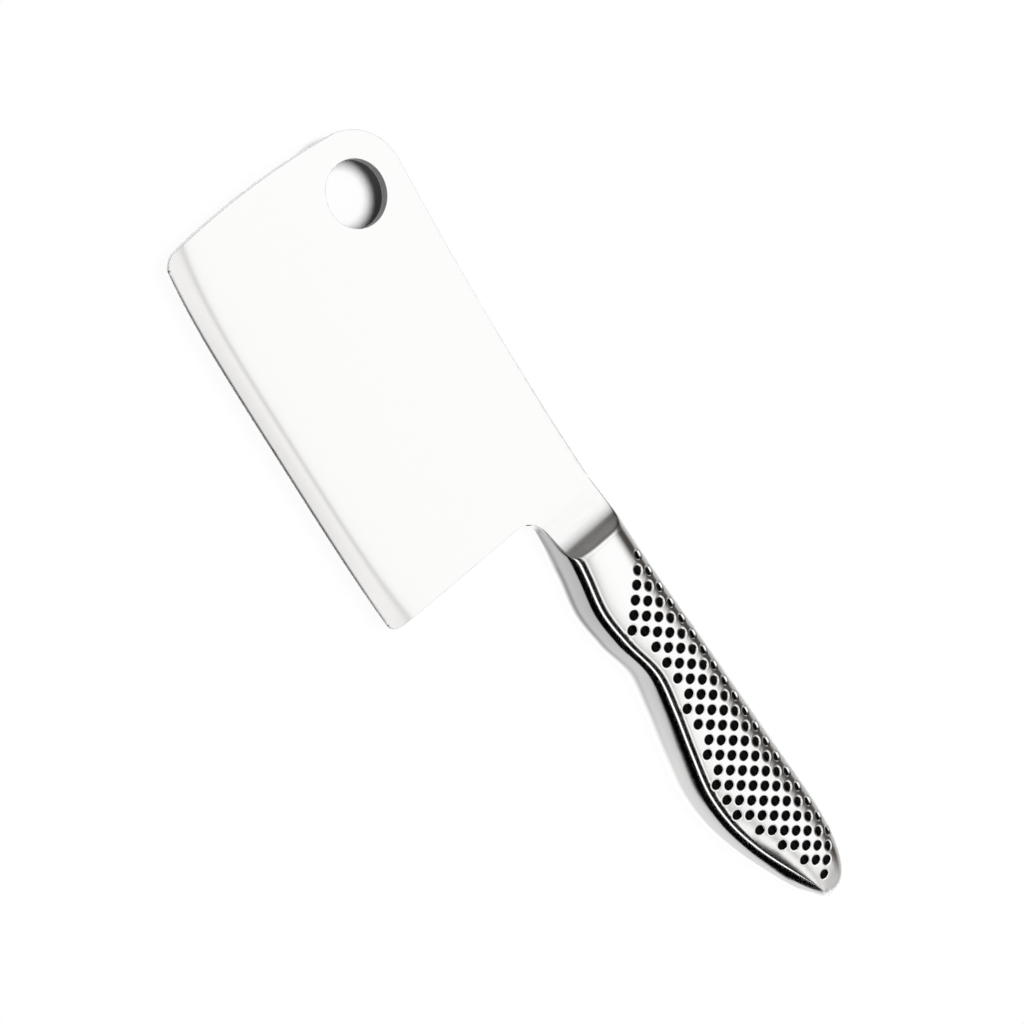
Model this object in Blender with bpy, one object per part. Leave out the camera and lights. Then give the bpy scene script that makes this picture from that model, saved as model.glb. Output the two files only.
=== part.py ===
"""Compact all-steel kitchen cleaver with a hollow, sand-filled handle.

The drawing frame used below has x from the blade's front to the handle's tail, y from the
cutting edge up to the spine, and z across the knife from its middle plane. An empty carries
every piece, and moves the origin to the middle of the bounding box's bottom face.
"""
import math

import bmesh
import bpy
from mathutils import Matrix, Vector

MM = 0.001

# Blade
BLADE_LENGTH = 100.0 * MM
BLADE_HEIGHT = 64.3 * MM
BLADE_THICKNESS = 2.5 * MM
SPINE_HOLLOW = 1.2 * MM
FRONT_BOW = 1.2 * MM
TOE_RISE = 2.6 * MM
HEEL_RISE = 1.0 * MM
TOE_CORNER = 3.6 * MM
TOP_CORNER = 12.5 * MM
HEEL_CORNER = 2.4 * MM
NOTCH_RADIUS = 5.0 * MM
WELD_BEHIND_HEEL = 1.4 * MM
BEVEL_HEIGHT = 4.4 * MM
EDGE_THICKNESS = 0.3 * MM
HOLE_DIAMETER = 15.8 * MM
HOLE_FROM_FRONT = 14.9 * MM
HOLE_BELOW_SPINE = 14.0 * MM

# Neck and handle
NECK_HEIGHT = 18.0 * MM
NECK_LENGTH = 13.1 * MM
SPIGOT_LENGTH = 5.0 * MM
HANDLE_LENGTH = 124.4 * MM
HANDLE_THICKNESS = 14.9 * MM
RIDGE_RADIUS = 2.4 * MM
SHELL_WALL = 1.2 * MM
CLEARANCE = 0.3 * MM

# Handle stations: (share of the handle's length from the weld, size)
BELLY_DROP = [
    (0.000, 0.0 * MM), (0.077, -0.3 * MM), (0.133, 0.3 * MM), (0.214, 1.5 * MM),
    (0.286, 0.3 * MM), (0.383, -2.5 * MM), (0.455, -1.5 * MM), (0.543, 0.5 * MM),
    (0.640, 2.1 * MM), (0.712, 1.3 * MM), (0.793, -2.2 * MM), (0.873, -7.4 * MM),
    (0.937, -12.0 * MM), (1.000, -16.6 * MM),
]
TOP_RISE = [
    (0.000, 0.0 * MM), (0.150, 1.1 * MM), (0.391, 3.3 * MM),
    (0.632, 5.7 * MM), (0.793, 7.2 * MM), (1.000, 8.6 * MM),
]
BELLY_BULGE = [
    (0.000, 0.3 * MM), (0.712, 0.6 * MM), (0.833, 1.3 * MM), (0.913, 1.2 * MM), (1.000, 0.1 * MM),
]
# Shares of the half thickness at the ridge between side and belly
RIDGE_SHARE = [(0.000, 0.87), (0.712, 0.87), (0.793, 0.82), (0.873, 0.67), (0.937, 0.50), (1.000, 0.08)]
# The neck's ramp: (share of the neck's length, share of the way from blade face to handle side)
NECK_RAMP = [
    (0.000, 0.00), (0.198, 0.14), (0.427, 0.28), (0.656, 0.44),
    (0.771, 0.61), (0.885, 0.91), (0.962, 1.15), (1.040, 1.57),
]
TAIL_TOP_START = 0.760
TAIL_TOP_POWER = 2.2
TAIL_TIP_DROP = 1.1 * MM
NOSE_LENGTH = 21.0 * MM
NOSE_POWER = 2.4
TOP_ROLL_HEIGHT_POWER = 3.0
TOP_ROLL_WIDTH_POWER = 2.4
TAIL_WALLS = 3.0

# Dimples, pressed square to the side in a slanted lattice
DIMPLE_DIAMETER = 2.4 * MM
DIMPLE_FLOOR_DIAMETER = 1.5 * MM
DIMPLE_DEPTH = 0.5 * MM
DIMPLE_PITCH = 4.87 * MM
DIMPLE_PITCH_RISE = 0.36 * MM
DIMPLE_ROW_SHIFT = 2.63 * MM
DIMPLE_ROW_DROP = 2.41 * MM
DIMPLE_COLUMNS = 19
DIMPLE_ROWS = 8
FIRST_DIMPLE_FROM_WELD = 20.7 * MM
FIRST_DIMPLE_BELOW_TOP = 3.65 * MM
DIMPLE_BELLY_MARGIN = 3.55 * MM
DIMPLE_BELLY_SHARE = 0.22
DIMPLE_TOP_MARGIN = 2.6 * MM

# Mesh fineness
OUTLINE_STEPS = 12
CORNER_STEPS = 6
HOLE_SIDES = 32
DIMPLE_SIDES = 8
BODY_STATIONS = 20
NOSE_STATIONS = 7
NECK_STATIONS = 8
BELLY_POINTS = 2
RIDGE_POINTS = 4
SIDE_POINTS = 3
ROLL_POINTS = 6

WELD_X = BLADE_LENGTH + WELD_BEHIND_HEEL
TAIL_X = WELD_X + HANDLE_LENGTH
NECK_END_X = WELD_X + NECK_LENGTH
SHELL_START_X = NECK_END_X + CLEARANCE
HALF_THICKNESS = HANDLE_THICKNESS / 2
BLADE_HALF = BLADE_THICKNESS / 2
NECK_BOTTOM_Y = BLADE_HEIGHT - NECK_HEIGHT
HOLE_CENTRE = (HOLE_FROM_FRONT, BLADE_HEIGHT - HOLE_BELOW_SPINE)


def smooth(stations, share):
    """Value at a share on a smooth curve through the stations."""
    share = min(max(share, stations[0][0]), stations[-1][0])
    last = len(stations) - 1
    i = 0
    while i < last - 1 and share > stations[i + 1][0]:
        i += 1
    slopes = [(stations[k + 1][1] - stations[k][1]) / (stations[k + 1][0] - stations[k][0]) for k in range(last)]

    def tangent(k):
        if k == 0 or k == last:
            return slopes[0] if k == 0 else slopes[-1]
        before = stations[k][0] - stations[k - 1][0]
        after = stations[k + 1][0] - stations[k][0]
        return (slopes[k - 1] * after + slopes[k] * before) / (before + after)

    width = stations[i + 1][0] - stations[i][0]
    t = (share - stations[i][0]) / width
    return (
        (2 * t**3 - 3 * t**2 + 1) * stations[i][1]
        + (t**3 - 2 * t**2 + t) * width * tangent(i)
        + (3 * t**2 - 2 * t**3) * stations[i + 1][1]
        + (t**3 - t**2) * width * tangent(i + 1)
    )


# Blade outline

def front_x(y):
    middle = BLADE_HEIGHT / 2
    return FRONT_BOW * ((y - middle) / (0.7 * middle)) ** 2


def spine_y(x):
    start = TOP_CORNER
    middle = (start + WELD_X) / 2
    return BLADE_HEIGHT - SPINE_HOLLOW * (1 - ((x - middle) / (WELD_X - middle)) ** 2)


def edge_y(x):
    middle = BLADE_LENGTH / 2
    u = (x - middle) / middle
    rise = TOE_RISE if u < 0 else HEEL_RISE
    return rise * u**4


def spread(start, end, steps):
    return [start + (end - start) * i / steps for i in range(steps + 1)]


def notch_y(x):
    """Round notch between the heel and the neck's underside."""
    reach = min(x - BLADE_LENGTH, NOTCH_RADIUS)
    return NECK_BOTTOM_Y - NOTCH_RADIUS + math.sqrt(NOTCH_RADIUS**2 - (NOTCH_RADIUS - reach) ** 2)


def corner_arc(before, corner, after):
    """Points of the round corner that touches both sides, without its two ends.

    before and after lie at the same distance from the corner.
    """
    before, corner, after = Vector(before), Vector(corner), Vector(after)
    bisector = ((before + after) / 2 - corner).normalized()
    cosine = (before - corner).normalized().dot(bisector)
    reach = (before - corner).length / cosine
    centre = corner + bisector * reach
    radius = (before - centre).length
    start = before - centre
    sweep = start.angle_signed(after - centre)
    points = []
    for i in range(1, CORNER_STEPS):
        angle = math.atan2(start.y, start.x) - sweep * i / CORNER_STEPS
        points.append((centre.x + radius * math.cos(angle), centre.y + radius * math.sin(angle)))
    return points


def blade_outline():
    """Anticlockwise outline, starting on the cutting edge behind the toe."""
    toe = (front_x(0), edge_y(0))
    top = (front_x(BLADE_HEIGHT), spine_y(0))
    heel = (BLADE_LENGTH, edge_y(BLADE_LENGTH))
    edge_start = toe[0] + TOE_CORNER
    edge_end = BLADE_LENGTH - HEEL_CORNER
    points = [(x, edge_y(x)) for x in spread(edge_start, edge_end, OUTLINE_STEPS)]
    heel_top = (BLADE_LENGTH, heel[1] + HEEL_CORNER)
    points += corner_arc(points[-1], heel, heel_top)
    points += [heel_top]
    for share in spread(0.0, 1.0, CORNER_STEPS):
        x = BLADE_LENGTH + WELD_BEHIND_HEEL * share**2
        points.append((x, notch_y(x)))
    spine = [(x, spine_y(x)) for x in spread(WELD_X, top[0] + TOP_CORNER, OUTLINE_STEPS)]
    points += spine
    front = [(front_x(y), y) for y in spread(top[1] - TOP_CORNER, toe[1] + TOE_CORNER, OUTLINE_STEPS)]
    points += corner_arc(spine[-1], top, front[0])
    points += front
    points += corner_arc(front[-1], toe, (edge_start, edge_y(edge_start)))
    return points


# Handle surface

def handle_share(x):
    return (x - WELD_X) / HANDLE_LENGTH


def belly_y(x, inset=0.0):
    return notch_y(x) - smooth(BELLY_DROP, handle_share(x)) + inset


def top_y(x, inset=0.0):
    """Top line, which falls to the tip along a superellipse at the tail."""
    y = BLADE_HEIGHT + smooth(TOP_RISE, handle_share(x)) - inset
    tip = BLADE_HEIGHT - TAIL_TIP_DROP
    start = WELD_X + TAIL_TOP_START * HANDLE_LENGTH
    end = TAIL_X - TAIL_WALLS * inset
    if x > start:
        share = min((x - start) / (end - start), 1.0)
        y = tip + (y - tip) * (1 - share**TAIL_TOP_POWER) ** (1 / TAIL_TOP_POWER)
    return y


def half_width(x, inset=0.0):
    """Largest half thickness at a station, which falls to nothing at the nose."""
    end = TAIL_X - TAIL_WALLS * inset
    width = HALF_THICKNESS - inset
    start = end - NOSE_LENGTH
    if x > start:
        share = min((x - start) / NOSE_LENGTH, 1.0)
        width *= (1 - share**NOSE_POWER) ** (1 / NOSE_POWER)
    return width


def section_shape(x, inset=0.0):
    """The lines that one section is drawn from."""
    low = belly_y(x, inset)
    high = top_y(x, inset)
    width = half_width(x, inset)
    ridge = width * min(smooth(RIDGE_SHARE, handle_share(x)) * HALF_THICKNESS / half_width(x), 0.88)
    height = high - low
    radius = min(max(RIDGE_RADIUS - inset, 0.4 * RIDGE_RADIUS), 0.3 * height, 0.6 * ridge)
    middle = low + height / 2
    tilt = math.atan(2 * (width - ridge) / (middle - low - radius))
    centre_z = ridge - radius * math.cos(tilt)
    side_y = low + radius - radius * math.sin(tilt)
    return low, high, width, ridge, radius, middle, tilt, centre_z, side_y


def side_z(x, y):
    """Height of the handle's side face over the middle plane."""
    low, high, width, ridge, radius, middle, tilt, centre_z, side_y = section_shape(x)
    if y < middle:
        return width - (width - ridge) * ((middle - y) / (middle - side_y)) ** 2
    share = min((y - middle) / (high - middle), 1.0)
    return width * (1 - share**TOP_ROLL_HEIGHT_POWER) ** (1 / TOP_ROLL_WIDTH_POWER)


def half_section(x, inset=0.0):
    """(y, z) points from the belly's middle, over the ridge and side, to the top's middle."""
    low, high, width, ridge, radius, middle, tilt, centre_z, side_y = section_shape(x, inset)
    bulge = min(smooth(BELLY_BULGE, handle_share(x)), 0.2 * (high - low))
    points = []
    for i in range(BELLY_POINTS):
        share = i / BELLY_POINTS
        points.append((low - bulge * (1 - share**2), centre_z * share))
    for i in range(RIDGE_POINTS + 1):
        angle = math.pi / 2 + (tilt - math.pi / 2) * i / RIDGE_POINTS
        points.append((low + radius - radius * math.sin(angle), centre_z + radius * math.cos(angle)))
    for i in range(1, SIDE_POINTS + 1):
        share = 1 - i / SIDE_POINTS
        points.append((middle - (middle - side_y) * share, width - (width - ridge) * share**2))
    for i in range(1, ROLL_POINTS + 1):
        angle = math.pi / 2 * i / ROLL_POINTS
        up = math.sin(angle) ** (2 / TOP_ROLL_HEIGHT_POWER)
        out = max(math.cos(angle), 0.0) ** (2 / TOP_ROLL_WIDTH_POWER)
        points.append((middle + (high - middle) * up, width * out if i < ROLL_POINTS else 0.0))
    return points


def handle_stations(start, end):
    """Stations from start towards end, closer together round the nose."""
    nose = end - NOSE_LENGTH
    body = spread(start, nose, BODY_STATIONS)
    turn = [nose + NOSE_LENGTH * math.sin(math.pi / 2 * i / NOSE_STATIONS) for i in range(1, NOSE_STATIONS)]
    return body + turn


# Building blocks

def new_object(name, mesh, collection, material=None):
    piece = bpy.data.objects.new(name, mesh)
    collection.objects.link(piece)
    if material is not None:
        mesh.materials.append(material)
    return piece


def finish_mesh(name, bm):
    bmesh.ops.recalc_face_normals(bm, faces=bm.faces)
    mesh = bpy.data.meshes.new(name)
    bm.to_mesh(mesh)
    bm.free()
    return mesh


def flat_mesh(name, outline, holes, thickness):
    """Closed mesh of a flat outline with holes, made with a filled and extruded 2D curve."""
    curve = bpy.data.curves.new(name, "CURVE")
    curve.dimensions = "2D"
    curve.fill_mode = "BOTH"
    curve.extrude = thickness / 2
    for loop in [outline] + holes:
        spline = curve.splines.new("POLY")
        spline.points.add(len(loop) - 1)
        for point, (x, y) in zip(spline.points, loop):
            point.co = (x, y, 0, 1)
        spline.use_cyclic_u = True
    drawn = bpy.data.objects.new(name, curve)
    bpy.context.scene.collection.objects.link(drawn)
    evaluated = drawn.evaluated_get(bpy.context.evaluated_depsgraph_get())
    raw = bpy.data.meshes.new_from_object(evaluated)
    bm = bmesh.new()
    bm.from_mesh(raw)
    bpy.data.objects.remove(drawn)
    bpy.data.meshes.remove(raw)
    bmesh.ops.remove_doubles(bm, verts=bm.verts, dist=0.001 * MM)
    return finish_mesh(name, bm)


def bridge(bm, first, second, closed):
    """Quads between two rows of vertices."""
    count = len(first)
    for i in range(count if closed else count - 1):
        k = (i + 1) % count
        bm.faces.new((first[i], first[k], second[k], second[i]))


def add_cut(piece, cutter, operation="DIFFERENCE"):
    cut = piece.modifiers.new(cutter.name, "BOOLEAN")
    cut.object = cutter
    cut.operation = operation


def add_cutter(name, mesh, collection):
    cutter = new_object(name, mesh, collection)
    cutter.hide_render = True
    cutter.display_type = "WIRE"
    return cutter


def make_material(name, colour, roughness, metallic):
    material = bpy.data.materials.new(name)
    material.use_nodes = True
    shader = material.node_tree.nodes["Principled BSDF"]
    shader.inputs["Base Color"].default_value = (*colour, 1.0)
    shader.inputs["Roughness"].default_value = roughness
    shader.inputs["Metallic"].default_value = metallic
    return material


# Pieces

def bevel_cutter_mesh():
    """Two grinding blocks whose faces run from the shoulders down to the edge."""
    drop = BLADE_HALF - EDGE_THICKNESS / 2
    angle = math.atan(drop / BEVEL_HEIGHT)
    size = 2 * BLADE_LENGTH
    bm = bmesh.new()
    for side in (1, -1):
        shoulder = Matrix.Translation((BLADE_LENGTH / 2, BEVEL_HEIGHT, side * BLADE_HALF))
        tilt = Matrix.Rotation(side * angle, 4, "X")
        block = Matrix.Translation((0, 0, side * BLADE_THICKNESS))
        scale = Matrix.Diagonal((size, 4 * BEVEL_HEIGHT, 2 * BLADE_THICKNESS, 1))
        bmesh.ops.create_cube(bm, size=1.0, matrix=shoulder @ tilt @ block @ scale)
    return finish_mesh("bevel_cutter", bm)


def make_blade(parts, cutters, steel):
    hole = []
    for i in range(HOLE_SIDES):
        angle = 2 * math.pi * i / HOLE_SIDES
        hole.append((
            HOLE_CENTRE[0] + HOLE_DIAMETER / 2 * math.cos(angle),
            HOLE_CENTRE[1] + HOLE_DIAMETER / 2 * math.sin(angle),
        ))
    mesh = flat_mesh("blade", blade_outline(), [hole], BLADE_THICKNESS)
    blade = new_object("blade", mesh, parts, steel)
    add_cut(blade, add_cutter("bevel_cutter", bevel_cutter_mesh(), cutters))
    return blade


def full_loop(bm, x, inset=0.0):
    """Closed ring of vertices round the whole section at one station."""
    half = half_section(x, inset)
    right = [bm.verts.new((x, y, z)) for y, z in half]
    left = [bm.verts.new((x, y, -z)) for y, z in reversed(half[1:-1])]
    return right + left


def neck_body_mesh():
    """Handle section carried forward to the weld, with the spigot behind it."""
    bm = bmesh.new()
    inset = SHELL_WALL + CLEARANCE
    rings = [full_loop(bm, x) for x in spread(WELD_X + CLEARANCE, NECK_END_X, NECK_STATIONS)]
    rings.append(full_loop(bm, NECK_END_X, inset))
    rings.append(full_loop(bm, NECK_END_X + SPIGOT_LENGTH, inset))
    for first, second in zip(rings, rings[1:]):
        bridge(bm, first, second, True)
    bm.faces.new(rings[0])
    bm.faces.new(rings[-1])
    return finish_mesh("neck", bm)


def ramp_z(share):
    return BLADE_HALF + smooth(NECK_RAMP, share) * (HALF_THICKNESS - BLADE_HALF)


def ramp_mesh():
    """The space between the two ground ramps, as a block across the neck."""
    last = NECK_RAMP[-1][0]
    shares = spread(0.0, last, 2 * NECK_STATIONS)
    upper = [(WELD_X + share * NECK_LENGTH, ramp_z(share)) for share in shares]
    ahead = WELD_X - NECK_LENGTH
    behind = NECK_END_X + 2 * SPIGOT_LENGTH
    upper = [(ahead, BLADE_HALF)] + upper + [(behind, upper[-1][1])]
    outline = upper + [(x, -z) for x, z in reversed(upper)]
    mesh = flat_mesh("neck_ramp", outline, [], 4 * NECK_HEIGHT)
    mesh.transform(Matrix.Translation((0, NECK_BOTTOM_Y, 0)) @ Matrix.Rotation(math.pi / 2, 4, "X"))
    return mesh


def make_neck(parts, cutters, steel):
    neck = new_object("neck", neck_body_mesh(), parts, steel)
    add_cut(neck, add_cutter("neck_ramp", ramp_mesh(), cutters), "INTERSECT")
    return neck


def shell_mesh(name, side):
    """Half shell: outer skin, cavity, and the flat rim on the joint plane."""
    bm = bmesh.new()
    seam = CLEARANCE / 2
    share = (HALF_THICKNESS - seam) / HALF_THICKNESS

    def row(x, inset):
        return [bm.verts.new((x, y, side * (seam + z * share))) for y, z in half_section(x, inset)]

    cavity_end = TAIL_X - TAIL_WALLS * SHELL_WALL
    tip_y = BLADE_HEIGHT - TAIL_TIP_DROP
    outer = [row(x, 0.0) for x in handle_stations(SHELL_START_X, TAIL_X)]
    inner = [row(x, SHELL_WALL) for x in handle_stations(SHELL_START_X, cavity_end)]
    outer_tip = bm.verts.new((TAIL_X, tip_y, side * seam))
    inner_tip = bm.verts.new((cavity_end, tip_y, side * seam))
    for skin in (outer, inner):
        for first, second in zip(skin, skin[1:]):
            bridge(bm, first, second, False)
    for skin, tip in ((outer, outer_tip), (inner, inner_tip)):
        for a, b in zip(skin[-1], skin[-1][1:]):
            bm.faces.new((a, b, tip))
    bridge(bm, outer[0], inner[0], False)
    for end in (0, -1):
        bridge(bm, [r[end] for r in outer] + [outer_tip], [r[end] for r in inner] + [inner_tip], False)
    return finish_mesh(name, bm)


def dimple_places():
    """Lattice points that keep clear of the belly, the top and the nose."""
    start_x = WELD_X + FIRST_DIMPLE_FROM_WELD
    start_y = top_y(start_x) - FIRST_DIMPLE_BELOW_TOP
    places = []
    for row in range(DIMPLE_ROWS):
        for column in range(DIMPLE_COLUMNS):
            x = start_x + column * DIMPLE_PITCH + row * DIMPLE_ROW_SHIFT
            y = start_y + column * DIMPLE_PITCH_RISE - row * DIMPLE_ROW_DROP
            inside = SHELL_START_X + DIMPLE_DIAMETER < x < TAIL_X - NOSE_LENGTH / 3
            if not inside:
                continue
            low = belly_y(x)
            high = top_y(x)
            margin = min(DIMPLE_BELLY_MARGIN, DIMPLE_BELLY_SHARE * (high - low))
            if low + margin < y < high - DIMPLE_TOP_MARGIN:
                places.append((x, y))
    return places


def dimple_cutter_mesh(name, side):
    """One cone frustum for each dimple, square to the surface that it enters."""
    bm = bmesh.new()
    step = 0.2 * MM
    rise = DIMPLE_DEPTH / 2
    flare = (DIMPLE_DIAMETER - DIMPLE_FLOOR_DIAMETER) / 2 / DIMPLE_DEPTH
    for x, y in dimple_places():
        slope_x = (side_z(x + step, y) - side_z(x - step, y)) / (2 * step)
        slope_y = (side_z(x, y + step) - side_z(x, y - step)) / (2 * step)
        normal = Vector((-slope_x, -slope_y, 1.0)).normalized()
        place = Vector((x, y, side_z(x, y))) + normal * (rise - DIMPLE_DEPTH) / 2
        turn = Vector((0, 0, 1)).rotation_difference(normal).to_matrix().to_4x4()
        mirror = Matrix.Diagonal((1, 1, side, 1))
        bmesh.ops.create_cone(
            bm,
            cap_ends=True,
            segments=DIMPLE_SIDES,
            radius1=DIMPLE_FLOOR_DIAMETER / 2,
            radius2=DIMPLE_DIAMETER / 2 + rise * flare,
            depth=DIMPLE_DEPTH + rise,
            matrix=mirror @ Matrix.Translation(place) @ turn,
        )
    return finish_mesh(name, bm)


def make_shell(name, side, parts, cutters, steel):
    shell = new_object(name, shell_mesh(name, side), parts, steel)
    cutter_name = name + "_dimples"
    add_cut(shell, add_cutter(cutter_name, dimple_cutter_mesh(cutter_name, side), cutters))
    return shell


def make_sand(parts, sand):
    """Ballast that fills the hollow handle behind the spigot."""
    bm = bmesh.new()
    inset = SHELL_WALL + CLEARANCE
    start = NECK_END_X + SPIGOT_LENGTH + CLEARANCE
    end = TAIL_X - TAIL_WALLS * inset
    rings = [full_loop(bm, x, inset) for x in handle_stations(start, end)]
    for first, second in zip(rings, rings[1:]):
        bridge(bm, first, second, True)
    bm.faces.new(rings[0])
    bm.faces.new(rings[-1])
    return new_object("sand_fill", finish_mesh("sand_fill", bm), parts, sand)


def clear_scene():
    for thing in list(bpy.data.objects):
        bpy.data.objects.remove(thing)


def shade(piece):
    piece.data.shade_smooth()
    piece.data.set_sharp_from_angle(angle=math.radians(30))


def main():
    clear_scene()
    parts = bpy.data.collections.new("cleaver")
    cutters = bpy.data.collections.new("cutters")
    bpy.context.scene.collection.children.link(parts)
    bpy.context.scene.collection.children.link(cutters)
    blade_steel = make_material("blade_steel", (0.86, 0.86, 0.85), 0.28, 1.0)
    handle_steel = make_material("handle_steel", (0.80, 0.80, 0.79), 0.32, 1.0)
    sand = make_material("sand", (0.72, 0.62, 0.46), 0.95, 0.0)
    blade = make_blade(parts, cutters, blade_steel)
    neck = make_neck(parts, cutters, handle_steel)
    right = make_shell("handle_shell_right", 1, parts, cutters, handle_steel)
    left = make_shell("handle_shell_left", -1, parts, cutters, handle_steel)
    filling = make_sand(parts, sand)
    for piece in (blade, neck, right, left, filling):
        shade(piece)
    highest = max(top_y(x) for x in spread(WELD_X, TAIL_X, 400))
    frame = bpy.data.objects.new("cleaver_frame", None)
    bpy.context.scene.collection.objects.link(frame)
    frame.location = (-TAIL_X / 2, -highest / 2, HALF_THICKNESS)
    for piece in list(parts.objects) + list(cutters.objects):
        piece.parent = frame


main()
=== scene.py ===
"""Looks of a compact all-steel kitchen cleaver with a hollow dimpled handle.

All shapes are drawn in millimetres in a drawing frame that has x from the blade's front to the
handle's tail, y from the cutting edge up to the spine, and z across the knife from its middle
plane. place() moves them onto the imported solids.
"""
import math

import bmesh
import bpy
import numpy as np
from mathutils import Matrix, Vector
from mathutils.geometry import delaunay_2d_cdt


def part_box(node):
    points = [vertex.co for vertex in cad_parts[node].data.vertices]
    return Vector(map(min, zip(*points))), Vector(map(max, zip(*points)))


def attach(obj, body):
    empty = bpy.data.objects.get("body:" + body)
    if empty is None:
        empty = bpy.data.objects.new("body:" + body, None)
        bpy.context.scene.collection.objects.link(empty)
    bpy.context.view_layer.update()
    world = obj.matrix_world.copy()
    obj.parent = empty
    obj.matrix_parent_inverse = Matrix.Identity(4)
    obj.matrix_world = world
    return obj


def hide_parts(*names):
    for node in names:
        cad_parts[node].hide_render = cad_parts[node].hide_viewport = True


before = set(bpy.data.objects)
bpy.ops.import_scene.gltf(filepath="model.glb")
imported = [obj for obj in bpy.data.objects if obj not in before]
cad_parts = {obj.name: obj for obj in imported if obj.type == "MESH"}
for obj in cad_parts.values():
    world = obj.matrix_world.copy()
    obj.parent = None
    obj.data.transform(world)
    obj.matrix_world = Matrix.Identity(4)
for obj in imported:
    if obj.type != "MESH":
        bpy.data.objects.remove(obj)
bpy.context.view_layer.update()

MM = 0.001
BLADE_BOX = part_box("blade")
SHELL_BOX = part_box("handle_shell_right")
ORIGIN = np.array([BLADE_BOX[0].x, BLADE_BOX[0].y, (BLADE_BOX[0].z + BLADE_BOX[1].z) / 2])

# Blade, in millimetres
WELD_X = (BLADE_BOX[1].x - BLADE_BOX[0].x) / MM
BLADE_HALF = (BLADE_BOX[1].z - BLADE_BOX[0].z) / MM / 2
WELD_BEHIND_HEEL = 1.4
BLADE_LENGTH = WELD_X - WELD_BEHIND_HEEL
BLADE_HEIGHT = 64.3
SPINE_HOLLOW = 1.2
FRONT_BOW = 1.2
TOE_RISE = 2.6
HEEL_RISE = 1.0
TOE_CORNER = 2.3
TOP_CORNER = 12.5
HEEL_CORNER = 2.4
NOTCH_RADIUS = 5.0
HOLE_RADIUS = 7.9
HOLE_CENTRE = (14.9, BLADE_HEIGHT - 14.0)
EDGE_HALF = 0.08
EDGE_BEVEL_SLOPE = 1.2
EDGE_BEVEL_HEIGHT = 0.12
BEVEL_HEIGHT = 4.1
BEVEL_END_RISE = 1.2
SHOULDER_BLEND = 0.15
EDGE_ROUND = 0.09
SPINE_ROUND = 0.30
SPINE_ROUND_START = 55.0
WELD_ROUND = 0.008
ROUND_MIDDLE = 0.293
BEVEL_ROWS = (
    0.17, 0.30, 0.45, 0.58, 0.68, 0.76, 0.84, 0.92, 1.00, 1.08, 1.16, 1.26, 1.40, 1.60, 1.90, 2.40,
)

# Handle, in millimetres
NECK_BOTTOM_Y = BLADE_HEIGHT - 18.0
NECK_END_X = WELD_X + 13.1
TAIL_X = (SHELL_BOX[1].x - BLADE_BOX[0].x) / MM
HANDLE_LENGTH = TAIL_X - WELD_X
HALF_THICKNESS = (SHELL_BOX[1].z - ORIGIN[2]) / MM
RIDGE_RADIUS = [
    (0.0, 3.3), (0.2, 3.3), (0.4, 3.3), (0.6, 3.3), (0.7, 3.5), (0.8, 3.9), (0.9, 4.3), (1.0, 4.4),
]
SHELL_WALL = 1.2
SPIGOT_INSET = 1.5
SPIGOT_LENGTH = 5.0
BELLY_DROP = [
    (0.000, 0.0), (0.077, -0.3), (0.133, 0.3), (0.214, 1.5), (0.286, 0.3), (0.383, -2.5),
    (0.455, -1.5), (0.543, 0.5), (0.640, 2.1), (0.712, 1.3), (0.793, -1.6), (0.873, -5.8),
    (0.937, -9.7), (1.000, -14.3),
]
TOP_RISE = [(0.000, 0.0), (0.150, 1.1), (0.391, 3.3), (0.632, 5.7), (0.793, 7.2), (1.000, 8.6)]
BELLY_BULGE = [(0.000, 0.3), (0.712, 0.5), (0.833, 0.55), (0.913, 0.5), (1.000, 0.1)]
RIDGE_SHARE = [
    (0.00, 0.953), (0.30, 0.953), (0.60, 0.950), (0.70, 0.905), (0.77, 0.830),
    (0.83, 0.800), (0.88, 0.836), (0.92, 0.872), (0.96, 0.912), (1.00, 0.930),
]
SIDE_POWER = 2.8
NECK_RAMP = [
    (0.00, 0.000), (0.10, 0.030), (0.20, 0.090), (0.30, 0.150), (0.40, 0.212), (0.50, 0.276),
    (0.58, 0.335), (0.66, 0.412), (0.74, 0.517), (0.80, 0.632), (0.86, 0.782), (0.92, 0.952),
    (0.98, 1.126), (1.04, 1.300),
]
NECK_CROWN = 0.15
TAIL_TOP_START = 0.760
TAIL_TOP_POWER = 2.2
TAIL_TIP_DROP = 1.1
TAIL_TIP_ROUND = 1.6
NOSE_LENGTH = 21.0
NOSE_POWER = 2.4
TOP_ROLL_HEIGHT_POWER = 3.0
TOP_ROLL_WIDTH_POWER = 2.4
TAIL_WALLS = 3.0
RAMP_NOTCH_ROUND = (0.09, 0.75)
RAMP_SPINE_ROUND = (0.30, 0.95)
RAMP_WELD_BLEND = 0.02
RAMP_END_BLEND = 0.42

# Dimples, in millimetres
DIMPLE_PITCH = 4.87
DIMPLE_PITCH_RISE = 0.36
DIMPLE_ROW_SHIFT = 2.63
DIMPLE_ROW_DROP = 2.41
DIMPLE_COLUMNS = 19
DIMPLE_ROWS = 8
FIRST_DIMPLE_X = WELD_X + 20.7
FIRST_DIMPLE_BELOW_TOP = 3.65
DIMPLE_BELLY_MARGIN = [(0.0, 3.55), (0.6, 3.55), (0.7, 3.55), (0.8, 4.20), (0.9, 4.20), (1.0, 4.20)]
DIMPLE_BELLY_SHARE = 0.25
DIMPLE_TOP_MARGIN = 2.6
DIMPLE_RADIUS = 1.30
DIMPLE_DEPTH = 0.55
DIMPLE_RIM_SOFTNESS = 0.07
DIMPLE_RINGS = [1.62, 1.52, 1.43, 1.36, 1.30, 1.24, 1.14, 0.94, 0.62, 0.30]
DIMPLE_SIDES = 32
GUARD_RADIUS = 1.76
PAINT_RADIUS = 1.23
PAINT_THICKNESS = 0.04
PAINT_EDGE = 0.012
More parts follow.
